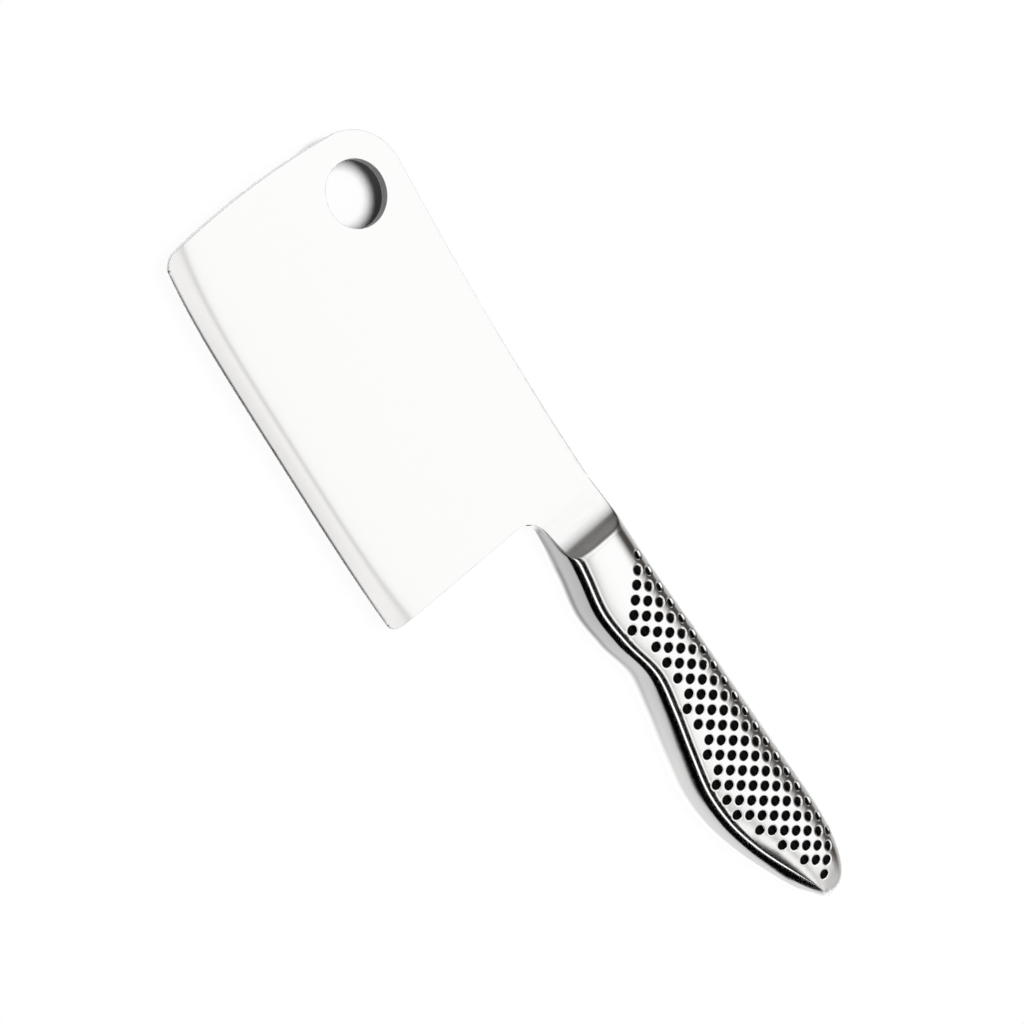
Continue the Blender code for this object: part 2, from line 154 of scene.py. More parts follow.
PAINT_RINGS = [1.00, 0.95, 0.83, 0.66, 0.46, 0.23]
PAINT_SHIFT_BY_ROW = [0.20, 0.08]

# Fineness of the meshes
HOLE_SIDES = 96
EDGE_STEPS = 90
CORNER_STEPS = 12
ROUND_LIMIT = 0.6
EDGE_ROW_ABOVE = 0.04
HOLE_CLEARANCE = 0.8
RIM_CLEARANCE = 0.12
NECK_POINTS = 110
NECK_FINE_LENGTH = 4.5
FIRST_RING_INSET = 0.0005
FIRST_RING_FLATTEN = 0.997
TURN_WEIGHT = 0.30
GRID_CLEARANCE = 0.22
GRID_REACH = 3.0
TAIL_END_GAP = 0.004
CAVITY_END_GAP = 0.01
ANGLE_PASSES = 8
SURFACE_PASSES = 12

# Camera, in the drawing frame
CAMERA_TARGET = (96.25, 42.77, 0.0)
CAMERA_DISTANCE = 644.0
CAMERA_DIRECTION = (-0.2974, -0.4427, 0.8459)
CAMERA_RIGHT = (0.4960, 0.6854, 0.5331)
CAMERA_LENS = 98.44
CAMERA_SENSOR = 36.0

# Room that the metal reflects: colour by degrees from straight up, toward +Y and toward +X
DARK = (0.0, 0.0, 0.0)
SMOKE = (0.055, 0.048, 0.044)
ACROSS_STOPS = [
    (-180, DARK), (-60, DARK), (-57, (1.5, 1.5, 1.5)), (-47, (1.5, 1.5, 1.5)), (-44, DARK), (-10, DARK),
    (-6, (1.0, 0.99, 0.98)), (4, (0.98, 0.97, 0.96)), (11, (0.44, 0.43, 0.42)), (18, (0.94, 0.94, 0.94)),
    (24, (1.0, 1.0, 1.0)), (38, (1.0, 1.0, 1.0)), (47, (0.50, 0.48, 0.47)), (55, SMOKE), (74, SMOKE),
    (86, (0.15, 0.14, 0.13)), (100, (0.34, 0.33, 0.32)), (180, DARK),
]
ALONG_STOPS = [(degrees, (level, level, level)) for degrees, level in (
    (-180, 0.2), (-80, 0.21), (-52, 0.30), (-34, 0.62), (-16, 1.0), (60, 1.0), (90, 0.8), (180, 0.6),
)]
GRAIN_DEPTH = 0.00002
WHITE = (1.0, 1.0, 1.0, 1.0)
BLACK = (0.0, 0.0, 0.0, 1.0)
BEYOND_TAIL = (0.54, 0.53, 0.52, 1.0)
BEYOND_TAIL_X = (0.62, 0.85)
BEYOND_TAIL_Y = (0.05, 0.30)
BEFORE_FRONT = (0.16, 0.155, 0.15, 1.0)
BEFORE_FRONT_X = (-0.55, -0.80)
ROOM_LEVEL = 1.11
FILL_LEVEL = 0.09
LAMP_LEVEL = 0.97
LAMP_WIDTH = 28.0
LAMP_LEAN = (3.6, -1.8)
FLOOR_HALF_SIZE = 3.0
FLOOR_BELOW = 0.00005
FLOOR_COLOUR = (0.97, 0.97, 0.97, 1.0)
FLOOR_WHITE_SEEN = 0.965
FLOOR_WHITE_REFLECTED = 0.30
DEEP_SHADOW_RADII = (HOLE_RADIUS + 4.0, HOLE_RADIUS + 6.5)

# Cards that only the metal sees
FRONT_CARD_HEIGHT = 16.0
FRONT_CARD_NEAR = 9.0
FRONT_CARD_FAR = 30.0
BACK_CARD_AWAY = 20.0
BACK_CARD_HEIGHT = 16.0
BACK_CARD_LEVELS = (0.75, 0.42)
# The belly card's levels are painted light and shade for the metal to mirror: a bright strip right under
# the belly, a painted shadow a few millimetres out, and grey further off.
BELLY_CARD_HEIGHT = 0.1
BELLY_CARD_AWAY = (-6.0, 0.90, 1.30, 1.80, 2.35, 2.90, 3.60, 4.40, 8.00)
BELLY_CARD_FRONT = (1.1, 1.10, 0.93, 0.62, 0.37, 0.23, 0.41, 0.60, 0.56, 0.50)
BELLY_CARD_BACK = (1.1, 1.10, 1.10, 1.08, 0.98, 0.82, 0.72, 0.78, 0.76, 0.70)
BELLY_CARD_CHANGE = (0.25, 0.60)
FRONT_CARD_ANGLE = [(0.0, 5.5), (0.2, 5.5), (0.4, 2.2), (0.6, -1.0), (0.8, -1.0), (1.0, -1.0)]
CARD_START = 5.0
CARD_OVERHANG = 60.0
CARD_STATIONS = 90


# Curves

def smooth(stations, share):
    """Values at shares on a smooth curve through the stations."""
    places = np.array([s[0] for s in stations])
    values = np.array([s[1] for s in stations])
    widths = np.diff(places)
    slopes = np.diff(values) / widths
    tangents = np.empty(len(places))
    tangents[0] = slopes[0]
    tangents[-1] = slopes[-1]
    tangents[1:-1] = (slopes[:-1] * widths[1:] + slopes[1:] * widths[:-1]) / (widths[1:] + widths[:-1])
    share = np.clip(np.asarray(share, float), places[0], places[-1])
    i = np.clip(np.searchsorted(places, share, side="right") - 1, 0, len(widths) - 1)
    t = (share - places[i]) / widths[i]
    return (
        (2 * t**3 - 3 * t**2 + 1) * values[i]
        + (t**3 - 2 * t**2 + t) * widths[i] * tangents[i]
        + (3 * t**2 - 2 * t**3) * values[i + 1]
        + (t**3 - t**2) * widths[i] * tangents[i + 1]
    )


def soft_min(a, b, blend):
    """The smaller of two values, with the change-over rounded."""
    gap = a - b
    return (a + b - np.sqrt(gap * gap + 4 * blend * blend)) / 2


def soft_positive(value, blend):
    return (value + np.sqrt(value * value + 4 * blend * blend)) / 2


# Blade outline

def front_x(y):
    """The blade's bowed front, where 0 is its foremost point."""
    middle = BLADE_HEIGHT / 2
    return FRONT_BOW * ((y - middle) / (0.7 * middle)) ** 2


def spine_y(x):
    middle = (TOP_CORNER + WELD_X) / 2
    return BLADE_HEIGHT - SPINE_HOLLOW * (1 - ((x - middle) / (WELD_X - middle)) ** 2)


def edge_y(x):
    middle = BLADE_LENGTH / 2
    u = (x - middle) / middle
    return np.where(u < 0, TOE_RISE, HEEL_RISE) * u**4


def notch_y(x):
    reach = np.clip(x - BLADE_LENGTH, 0.0, NOTCH_RADIUS)
    return NECK_BOTTOM_Y - NOTCH_RADIUS + np.sqrt(NOTCH_RADIUS**2 - (NOTCH_RADIUS - reach) ** 2)


def corner_arc(before, corner, after, steps):
    """Points of the round corner that touches both sides, without its two ends."""
    before, corner, after = Vector(before), Vector(corner), Vector(after)
    bisector = ((before + after) / 2 - corner).normalized()
    cosine = (before - corner).normalized().dot(bisector)
    centre = corner + bisector * (before - corner).length / cosine
    start = before - centre
    sweep = start.angle_signed(after - centre)
    first = math.atan2(start.y, start.x)
    points = []
    for i in range(1, steps):
        angle = first - sweep * i / steps
        x = centre.x + start.length * math.cos(angle)
        points.append((x, centre.y + start.length * math.sin(angle)))
    return points


def edge_stations():
    return np.linspace(front_x(0) + TOE_CORNER, BLADE_LENGTH - HEEL_CORNER, EDGE_STEPS)


def blade_outline():
    """Anticlockwise outline of the blade."""
    toe = (front_x(0), float(edge_y(0)))
    top = (front_x(BLADE_HEIGHT), spine_y(0))
    heel = (BLADE_LENGTH, float(edge_y(BLADE_LENGTH)))
    edge = [(x, float(edge_y(x))) for x in edge_stations()]
    heel_top = (BLADE_LENGTH, heel[1] + HEEL_CORNER)
    back = [(BLADE_LENGTH, y) for y in np.linspace(heel_top[1], NECK_BOTTOM_Y - NOTCH_RADIUS, 14)]
    notch_xs = BLADE_LENGTH + WELD_BEHIND_HEEL * np.linspace(0, 1, 14)[1:] ** 2
    notch = [(x, float(notch_y(x))) for x in notch_xs]
    spine = [(x, spine_y(x)) for x in np.linspace(WELD_X, top[0] + TOP_CORNER, 50)]
    front = [(front_x(y), y) for y in np.linspace(top[1] - TOP_CORNER, toe[1] + TOE_CORNER, 40)]
    points = list(edge)
    points += corner_arc(edge[-1], heel, heel_top, CORNER_STEPS)
    points += back + notch + spine
    points += corner_arc(spine[-1], top, front[0], 2 * CORNER_STEPS)
    points += front
    points += corner_arc(front[-1], toe, edge[0], CORNER_STEPS)
    return np.array(points)


# Handle surface

def handle_share(x):
    return (x - WELD_X) / HANDLE_LENGTH


def belly_y(x):
    at_tip = np.clip((x - TAIL_X + TAIL_TIP_ROUND) / TAIL_TIP_ROUND, 0.0, 1.0)
    rounding = TAIL_TIP_ROUND * (1 - np.sqrt(1 - at_tip**2))
    return notch_y(x) - smooth(BELLY_DROP, handle_share(x)) + rounding


def top_y(x, inset=0.0):
    y = BLADE_HEIGHT + smooth(TOP_RISE, handle_share(x)) - inset
    tip = BLADE_HEIGHT - TAIL_TIP_DROP
    start = WELD_X + TAIL_TOP_START * HANDLE_LENGTH
    share = np.clip((x - start) / (TAIL_X - TAIL_WALLS * inset - start), 0.0, 1.0)
    return np.where(share > 0, tip + (y - tip) * (1 - share**TAIL_TOP_POWER) ** (1 / TAIL_TOP_POWER), y)


def half_width(x, inset=0.0):
    start = TAIL_X - TAIL_WALLS * inset - NOSE_LENGTH
    share = np.clip((x - start) / NOSE_LENGTH, 0.0, 1.0)
    return (HALF_THICKNESS - inset) * (1 - share**NOSE_POWER) ** (1 / NOSE_POWER)


def section_shape(x, inset=0.0):
    """The lines that a section is drawn from."""
    low = belly_y(x) + inset
    high = top_y(x, inset)
    width = half_width(x, inset)
    ridge = width * smooth(RIDGE_SHARE, handle_share(x))
    height = np.maximum(high - low, 1e-4)
    radius = smooth(RIDGE_RADIUS, handle_share(x))
    radius = np.minimum(np.minimum(np.maximum(radius - inset, 0.4 * radius), 0.35 * height), 0.8 * ridge)
    middle = low + height / 2
    tilt = np.arctan(SIDE_POWER * (width - ridge) / (middle - low - radius))
    centre_z = ridge - radius * np.cos(tilt)
    side_y = low + radius - radius * np.sin(tilt)
    return low, high, width, ridge, radius, middle, tilt, centre_z, side_y


def belly_shape(x, low, high, radius, centre_z):
    """Bulge of the belly, and the angle from straight up at which it meets the ridge."""
    bulge = np.minimum(smooth(BELLY_BULGE, handle_share(x)), 0.2 * (high - low))
    angle = np.arctan2(centre_z, 2 * bulge)
    for _ in range(ANGLE_PASSES):
        angle = np.arctan2(centre_z + radius * np.cos(angle), 2 * bulge)
    return bulge, angle


def section_point(x, s, inset=0.0):
    """(y, z) at s: 0 to 1 over the belly, to 2 round the ridge, to 3 up the side, to 4 over the top."""
    x, s = np.broadcast_arrays(np.asarray(x, float), np.asarray(s, float))
    low, high, width, ridge, radius, middle, tilt, centre_z, side_y = section_shape(x, inset)
    bulge, belly_angle = belly_shape(x, low, high, radius, centre_z)
    belly_z = centre_z + radius * np.cos(belly_angle)
    belly_end = low + radius - radius * np.sin(belly_angle)
    ridge_angle = belly_angle + (tilt - belly_angle) * np.clip(s - 1, 0, 1)
    side_share = 1 - np.clip(s - 2, 0, 1)
    roll = math.pi / 2 * np.clip(s - 3, 0, 1)
    roll_up = np.sin(roll) ** (2 / TOP_ROLL_HEIGHT_POWER)
    roll_out = np.maximum(np.cos(roll), 0.0) ** (2 / TOP_ROLL_WIDTH_POWER)
    parts = [s < 1, s < 2, s < 3]
    y = np.select(parts, [
        belly_end - bulge * (1 - s**2),
        low + radius - radius * np.sin(ridge_angle),
        middle - (middle - side_y) * side_share,
    ], middle + (high - middle) * roll_up)
    z = np.select(parts, [
        belly_z * s,
        centre_z + radius * np.cos(ridge_angle),
        width - (width - ridge) * side_share**SIDE_POWER,
    ], np.where(s >= 4, 0.0, width * roll_out))
    return y, z


def side_z(x, y):
    """Height of the side face over the middle plane."""
    low, high, width, ridge, radius, middle, tilt, centre_z, side_y = section_shape(x)
    arc = centre_z + np.sqrt(np.maximum(radius**2 - (low + radius - y) ** 2, 0.0))
    flat = width - (width - ridge) * np.clip((middle - y) / (middle - side_y), 0.0, 1.0) ** SIDE_POWER
    up = np.clip((y - middle) / (high - middle), 0.0, 1.0)
    roll = width * (1 - up**TOP_ROLL_HEIGHT_POWER) ** (1 / TOP_ROLL_WIDTH_POWER)
    return np.select([y < side_y, y < middle], [arc, flat], roll)


def side_s(x, y):
    """The s of a side point, the reverse of section_point."""
    low, high, width, ridge, radius, middle, tilt, centre_z, side_y = section_shape(x)
    angle = np.arcsin(np.clip((low + radius - y) / radius, -1.0, 1.0))
    arc = 1 + (angle - math.pi / 2) / (tilt - math.pi / 2)
    flat = 3 - (middle - y) / (middle - side_y)
    up = np.clip((y - middle) / (high - middle), 0.0, 1.0)
    roll = 3 + np.arcsin(up ** (TOP_ROLL_HEIGHT_POWER / 2)) / (math.pi / 2)
    return np.select([y < side_y, y < middle], [arc, flat], roll)


def dimple_places():
    """Centres and rows of the dimples: a slanted lattice, clear of the belly, the top and the nose."""
    first_y = float(top_y(FIRST_DIMPLE_X)) - FIRST_DIMPLE_BELOW_TOP
    places = []
    for row in range(DIMPLE_ROWS):
        for column in range(DIMPLE_COLUMNS):
            x = FIRST_DIMPLE_X + column * DIMPLE_PITCH + row * DIMPLE_ROW_SHIFT
            y = first_y + column * DIMPLE_PITCH_RISE - row * DIMPLE_ROW_DROP
            if not NECK_END_X + 2 * DIMPLE_RADIUS < x < TAIL_X - NOSE_LENGTH / 3:
                continue
            low = float(belly_y(x))
            high = float(top_y(x))
            margin = float(smooth(DIMPLE_BELLY_MARGIN, handle_share(x)))
            margin = min(margin, DIMPLE_BELLY_SHARE * (high - low))
            if low + margin < y < high - DIMPLE_TOP_MARGIN:
                places.append((x, y, row))
    return places


# Mesh helpers

def place(points):
    """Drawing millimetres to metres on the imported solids."""
    return np.asarray(points, float) * MM + ORIGIN


def make_piece(name, points, faces, groups, materials, cad_nodes, seam=True):
    """Mesh object with normals averaged by area within each group of faces.

    A face takes the material whose place in the list is its group's number, or else the last one.
    """
    mesh = bpy.data.meshes.new(name)
    points = np.asarray(points, float)
    mesh.from_pydata([tuple(p) for p in place(points)], [], faces)
    mesh.update()
    groups = np.asarray(groups)
    count = len(mesh.polygons)
    normals = np.empty(count * 3)
    areas = np.empty(count)
    mesh.polygons.foreach_get("normal", normals)
    mesh.polygons.foreach_get("area", areas)
    starts = np.empty(count, int)
    totals = np.empty(count, int)
    mesh.polygons.foreach_get("loop_start", starts)
    mesh.polygons.foreach_get("loop_total", totals)
    corners = np.empty(len(mesh.loops), int)
    mesh.loops.foreach_get("vertex_index", corners)
    weighted = normals.reshape(-1, 3) * areas[:, None]
    face_of_corner = np.repeat(np.arange(count), totals)
    keys = groups[face_of_corner] * len(points) + corners
    unique, inverse = np.unique(keys, return_inverse=True)
    sums = np.zeros((len(unique), 3))
    np.add.at(sums, inverse, weighted[face_of_corner])
    if seam:
        on_seam = (np.abs(points[unique % len(points), 2]) < 1e-9) & (unique // len(points) == 0)
        sums[on_seam, 2] = 0.0
    sums /= np.maximum(np.linalg.norm(sums, axis=1), 1e-12)[:, None]
    mesh.shade_smooth()
    mesh.normals_split_custom_set([tuple(n) for n in sums[inverse]])
    piece = bpy.data.objects.new(name, mesh)
    bpy.context.scene.collection.objects.link(piece)
    for material in materials:
        mesh.materials.append(material)
    mesh.polygons.foreach_set("material_index", np.minimum(groups, len(materials) - 1))
    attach(piece, "root")
    if cad_nodes:
        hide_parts(*cad_nodes)
    return piece


def mirrored(points, faces):
    """The same mesh on the other side of the middle plane."""
    flipped = np.array(points, float) * np.array([1.0, 1.0, -1.0])
    return flipped, [tuple(reversed(face)) for face in faces]


def strip(first, second, closed=False):
    """Quads between two rows of point numbers."""
    count = len(first)
    faces = []
    for i in range(count if closed else count - 1):
        k = (i + 1) % count
        faces.append((first[i], first[k], second[k], second[i]))
    return faces


def triangulate(points, edges):
    """Triangles over all the points, as numbers of the points."""
    result = delaunay_2d_cdt([Vector(p) for p in points], edges, [], 0, 1e-7)
    out_points, faces, sources = result[0], result[2], result[3]
    renamed = {}
    for number, origin in enumerate(sources):
        for one in origin:
            renamed[one] = number
    back = {number: one for one, number in renamed.items()}
    if len(out_points) != len(sources) or len(back) != len(out_points):
        raise RuntimeError("the triangulation made new points")
    return [tuple(back[v] for v in face) for face in faces]


def loop_edges(numbers):
    return [(numbers[i], numbers[(i + 1) % len(numbers)]) for i in range(len(numbers))]


# Blade skin

def bevel_height(x):
    return BEVEL_HEIGHT + BEVEL_END_RISE * ((x - BLADE_LENGTH / 2) / (BLADE_LENGTH / 2)) ** 4


def blade_face_z(x, y):
    """Height of the blade's face: flat, then a wide bevel, then a narrow one at the edge."""
    up = np.maximum(y - edge_y(x), 0.0)
    edge_bevel = EDGE_HALF + EDGE_BEVEL_SLOPE * up
    half = EDGE_HALF + EDGE_BEVEL_SLOPE * EDGE_BEVEL_HEIGHT
    share = (up - EDGE_BEVEL_HEIGHT) / (bevel_height(x) - EDGE_BEVEL_HEIGHT)
    wide_bevel = half + (BLADE_HALF - half) * share
    ground = np.minimum(edge_bevel, wide_bevel)
    return np.minimum(soft_min(ground, BLADE_HALF, SHOULDER_BLEND), BLADE_HALF)


def inward_normals(loop):
    """Unit normals that point into an anticlockwise loop."""
    along = np.roll(loop, -1, axis=0) - np.roll(loop, 1, axis=0)
    along /= np.linalg.norm(along, axis=1)[:, None]
    return np.stack([-along[:, 1], along[:, 0]], axis=1)


def blade_mesh():
    outline = blade_outline()
    inward = inward_normals(outline)
    at_weld = np.isclose(outline[:, 0], WELD_X)
    inward[at_weld] = [-1.0, 0.0]
    near_weld = np.clip((outline[:, 0] - SPINE_ROUND_START) / (WELD_X - SPINE_ROUND_START), 0.0, 1.0)
    on_spine = outline[:, 1] > NECK_BOTTOM_Y
    edge_round = EDGE_ROUND + (SPINE_ROUND - EDGE_ROUND) * near_weld * on_spine
    in_notch = (outline[:, 0] > BLADE_LENGTH) & ~on_spine
    edge_round[in_notch | at_weld] = WELD_ROUND
    angles = np.linspace(0, -2 * math.pi, HOLE_SIDES, endpoint=False)
    around = np.stack([np.cos(angles), np.sin(angles)], axis=1)
    points = []
    faces = []

    def add(flat, z):
        start = len(points)
        points.extend([(x, y, h) for (x, y), h in zip(flat, np.broadcast_to(z, len(flat)))])
        return list(range(start, start + len(flat)))

    loops = []
    face_z = blade_face_z(outline[:, 0], outline[:, 1])
    rounding = np.minimum(edge_round, ROUND_LIMIT * face_z)
    for reach, fall in ((0.0, 1.0), (ROUND_MIDDLE, ROUND_MIDDLE), (1.0, 0.0)):
        rows = []
        ring = outline + inward * (reach * rounding)[:, None]
        inner_z = blade_face_z(ring[:, 0], ring[:, 1]) if reach == 1.0 else face_z
        rows.append(add(ring, inner_z - fall * rounding))
        hole = np.array(HOLE_CENTRE) + around * (HOLE_RADIUS - (1 - reach) * EDGE_ROUND)
        rows.append(add(hole, np.full(len(hole), BLADE_HALF - fall * EDGE_ROUND)))
        loops.append(rows)
    for a, b in zip(loops, loops[1:]):
        faces += strip(a[0], b[0], True)
        faces += strip(a[1], b[1], True)

    rim, hole_rim = loops[-1]
    inner = []
    rim_line = np.array([points[i][:2] for i in rim])
    stations = edge_stations()
    step = stations[1] - stations[0]
    before = np.arange(stations[0] - step, 0.3, -step)
    after = np.arange(stations[-1] + step, BLADE_LENGTH - 0.2, step)
    for x in np.concatenate([before, stations, after]):
        inner.append((x, float(edge_y(x)) + EDGE_BEVEL_HEIGHT + EDGE_ROW_ABOVE))
        for share in BEVEL_ROWS:
            inner.append((x, float(edge_y(x)) + share * bevel_height(x)))
    for x in np.linspace(4, WELD_X - 1, 26):
        for y in np.linspace(14, BLADE_HEIGHT - 2, 14):
            inner.append((x, y))
    inner = np.array(inner)
    away = np.linalg.norm(inner - np.array(HOLE_CENTRE), axis=1) > HOLE_RADIUS + HOLE_CLEARANCE
    inner = inner[away & inside(inner, rim_line, RIM_CLEARANCE)]
    numbers = add(inner, blade_face_z(inner[:, 0], inner[:, 1]))
    flat = rim + hole_rim + numbers
    order = {number: i for i, number in enumerate(flat)}
    edges = [(order[a], order[b]) for a, b in loop_edges(rim) + loop_edges(hole_rim)]
    hole_set = set(range(len(rim), len(rim) + len(hole_rim)))
    for face in triangulate([points[i][:2] for i in flat], edges):
        if all(i in hole_set for i in face):
            continue
        middle = np.mean([points[flat[i]][:2] for i in face], axis=0)
        if inside(middle[None, :], rim_line, 0.0)[0]:
            faces.append(tuple(flat[i] for i in face))

    points = np.array(points)
    other, other_faces = mirrored(points, faces)
    shift = len(points)
    faces += [tuple(i + shift for i in face) for face in other_faces]
    groups = [0] * len(faces)
    for group, loop in enumerate(loops[0], 1):
        walls = strip([i + shift for i in loop], loop, True)
        faces += walls
        groups += [group] * len(walls)
    return np.concatenate([points, other]), faces, groups


def inside(points, loop, margin):
    """Which points lie within a loop by more than the margin."""
    ends = np.roll(loop, -1, axis=0)
    result = np.zeros(len(points), bool)
    for k, (px, py) in enumerate(points):
        crosses = (loop[:, 1] > py) != (ends[:, 1] > py)
        at = loop[crosses, 0] + (py - loop[crosses, 1]) / (ends[crosses, 1] - loop[crosses, 1]) * (
            ends[crosses, 0] - loop[crosses, 0])
        if np.count_nonzero(px < at) % 2 == 0:
            continue
        if margin > 0:
            along = ends - loop
            reach = (px - loop[:, 0]) * along[:, 0] + (py - loop[:, 1]) * along[:, 1]
            share = reach / (along**2).sum(axis=1)
            near = loop + np.clip(share, 0, 1)[:, None] * along
            if np.min(np.hypot(near[:, 0] - px, near[:, 1] - py)) < margin:
                continue
        result[k] = True
    return result


# Neck skin

def ramp_z(x, y):
    """Height of the neck's ramp, which drops a little toward the spine and has two round long edges."""
    share = (x - WELD_X) / (NECK_END_X - WELD_X)
    low = belly_y(x)
    high = top_y(x)
    upper_half = np.clip(2 * (y - low) / (high - low) - 1, 0.0, 1.0)
    rise = smooth(NECK_RAMP, share) * (HALF_THICKNESS - BLADE_HALF)
    height = BLADE_HALF + rise * (1 - NECK_CROWN * upper_half**2)
    for away, (at_weld, at_end) in ((y - low, RAMP_NOTCH_ROUND), (high - y, RAMP_SPINE_ROUND)):
        radius = at_weld + (at_end - at_weld) * np.clip(share, 0.0, 1.0)
        near = np.clip(1 - away / radius, 0.0, 1.0)
        height = height - radius * (1 - np.sqrt(1 - near**2))
    return height


def resampled(y, z, count):
    """Points along a line, closer together where it turns."""
    step_y = np.diff(y)
    step_z = np.diff(z)
    length = np.hypot(step_y, step_z)
    keep = np.concatenate([[True], length > 1e-9])
    y, z = y[keep], z[keep]
    step_y, step_z = np.diff(y), np.diff(z)
    length = np.hypot(step_y, step_z)
    heading = np.unwrap(np.arctan2(step_z, step_y))
    turn = np.abs(np.diff(heading))
    turn = np.concatenate([[0.0], turn]) + np.concatenate([turn, [0.0]])
    weight = length / length.sum() + TURN_WEIGHT * turn / 2
    total = np.concatenate([[0.0], np.cumsum(weight)])
    total /= total[-1]
    wanted = np.linspace(0, 1, count)
    return np.interp(wanted, total, y), np.interp(wanted, total, z)


def neck_half(x, count, inset=0.0, ramp=True):
    """Half section of the neck from the belly's seam to the top's seam."""
    s = np.concatenate([
        np.linspace(0, 1, 400)[:-1], np.linspace(1, 2, 160)[:-1],
        np.linspace(2, 3, 160)[:-1], np.linspace(3, 4, 500),
    ])
    y, z = section_point(x, s, inset)
    if ramp:
        height = ramp_z(x, y)
        share = np.clip((x - WELD_X) / (NECK_END_X - WELD_X), 0.0, 1.0)
        blend = RAMP_WELD_BLEND + (RAMP_END_BLEND - RAMP_WELD_BLEND) * share
        at_seam = soft_min(0.0, height, blend)
        z = soft_min(z, height, blend) - at_seam * (1 - z / HALF_THICKNESS)
    z[0] = 0.0
    z[-1] = 0.0
    return resampled(y, z, count)


def neck_mesh():
    fine_x = NECK_END_X - NECK_FINE_LENGTH
    stations = np.concatenate([
        [WELD_X, WELD_X + 0.08],
        np.linspace(WELD_X + 0.3, fine_x, 24)[:-1],
        np.linspace(fine_x, NECK_END_X, 46),
    ])
    rings = []
    for k, x in enumerate(stations):
        y, z = neck_half(float(x), NECK_POINTS)
        if k == 0:
            y = y + (np.mean(y) - y) * FIRST_RING_INSET
            z = z * FIRST_RING_FLATTEN
        rings.append((x, y, z))
    y, z = neck_half(NECK_END_X, NECK_POINTS, SPIGOT_INSET, False)
    rings.append((NECK_END_X, y, z))
    rings.append((NECK_END_X + SPIGOT_LENGTH, y, z))
    points = []
    loops = []
    for x, y, z in rings:
        start = len(points)
        points += [(x, b, h) for b, h in zip(y, z)]
        points += [(x, b, -h) for b, h in zip(y[-2:0:-1], z[-2:0:-1])]
        loops.append(list(range(start, len(points))))
    faces = []
    groups = []
    for k, (a, b) in enumerate(zip(loops, loops[1:])):
        made = strip(b, a, True)
        faces += made
        groups += [max(0, k - len(stations) + 2)] * len(made)
    faces.append(tuple(loops[0]))
    faces.append(tuple(reversed(loops[-1])))
    groups += [5, 6]
    return points, faces, groups


# Handle shells

def shell_stations():
    front = NECK_END_X + np.array([0.0, 0.2, 0.5, 0.9])
    body = np.linspace(NECK_END_X + 1.5, TAIL_X - NOSE_LENGTH, 96)
    turn = TAIL_X - NOSE_LENGTH + (NOSE_LENGTH - TAIL_END_GAP) * np.sin(np.linspace(0, math.pi / 2, 40))[1:]
    return np.concatenate([front, body, turn])


S_STEPS = np.concatenate([
    np.linspace(0, 1, 9)[:-1], np.linspace(1, 2, 15)[:-1],
    np.linspace(2, 3, 12)[:-1], np.linspace(3, 4, 22),
])
S_LENGTHS = (4.8, 3.4, 9.5, 13.5)


def domain(x, s):
    """Flat plan of the shell, in roughly true millimetres, for the triangulation."""
    whole = np.clip(np.floor(s), 0, 3).astype(int)
    before = np.concatenate([[0.0], np.cumsum(S_LENGTHS)])
    return np.stack([x, before[whole] + (s - whole) * np.array(S_LENGTHS)[whole]], axis=-1)


def dimple_frame(x, y):
    """Centre on the surface, outward normal and two directions along the surface."""
    step = 0.05
    slope_x = (side_z(x + step, y) - side_z(x - step, y)) / (2 * step)
    slope_y = (side_z(x, y + step) - side_z(x, y - step)) / (2 * step)
    normal = np.array([-float(slope_x), -float(slope_y), 1.0])
    normal /= np.linalg.norm(normal)
    first = np.cross([0.0, 1.0, 0.0], normal)
    first /= np.linalg.norm(first)
    second = np.cross(normal, first)
    return np.array([x, y, float(side_z(x, y))]), normal, first, second


def surface_ring(centre, normal, first, second, radius):
    """Points of the undimpled surface round a dimple's axis."""
    angles = np.linspace(0, 2 * math.pi, DIMPLE_SIDES, endpoint=False)
    around = np.cos(angles)[:, None] * first + np.sin(angles)[:, None] * second
    return onto_surface(centre + radius * around, normal)


def onto_surface(flat, normal):
    """Points moved along the normal onto the undimpled surface."""
    height = np.zeros(len(flat))
    for _ in range(SURFACE_PASSES):
        at = flat + height[:, None] * normal
        height -= (at[:, 2] - side_z(at[:, 0], at[:, 1])) * normal[2]
    return flat + height[:, None] * normal


def bowl_depth(radius):
    """Depth below the surface of the round hollow, with a softened rim."""
    ball = (DIMPLE_RADIUS**2 + DIMPLE_DEPTH**2) / (2 * DIMPLE_DEPTH)
    cap = DIMPLE_DEPTH - ball + np.sqrt(np.maximum(ball**2 - np.asarray(radius, float) ** 2, 0.0))
    return soft_positive(cap, DIMPLE_RIM_SOFTNESS)


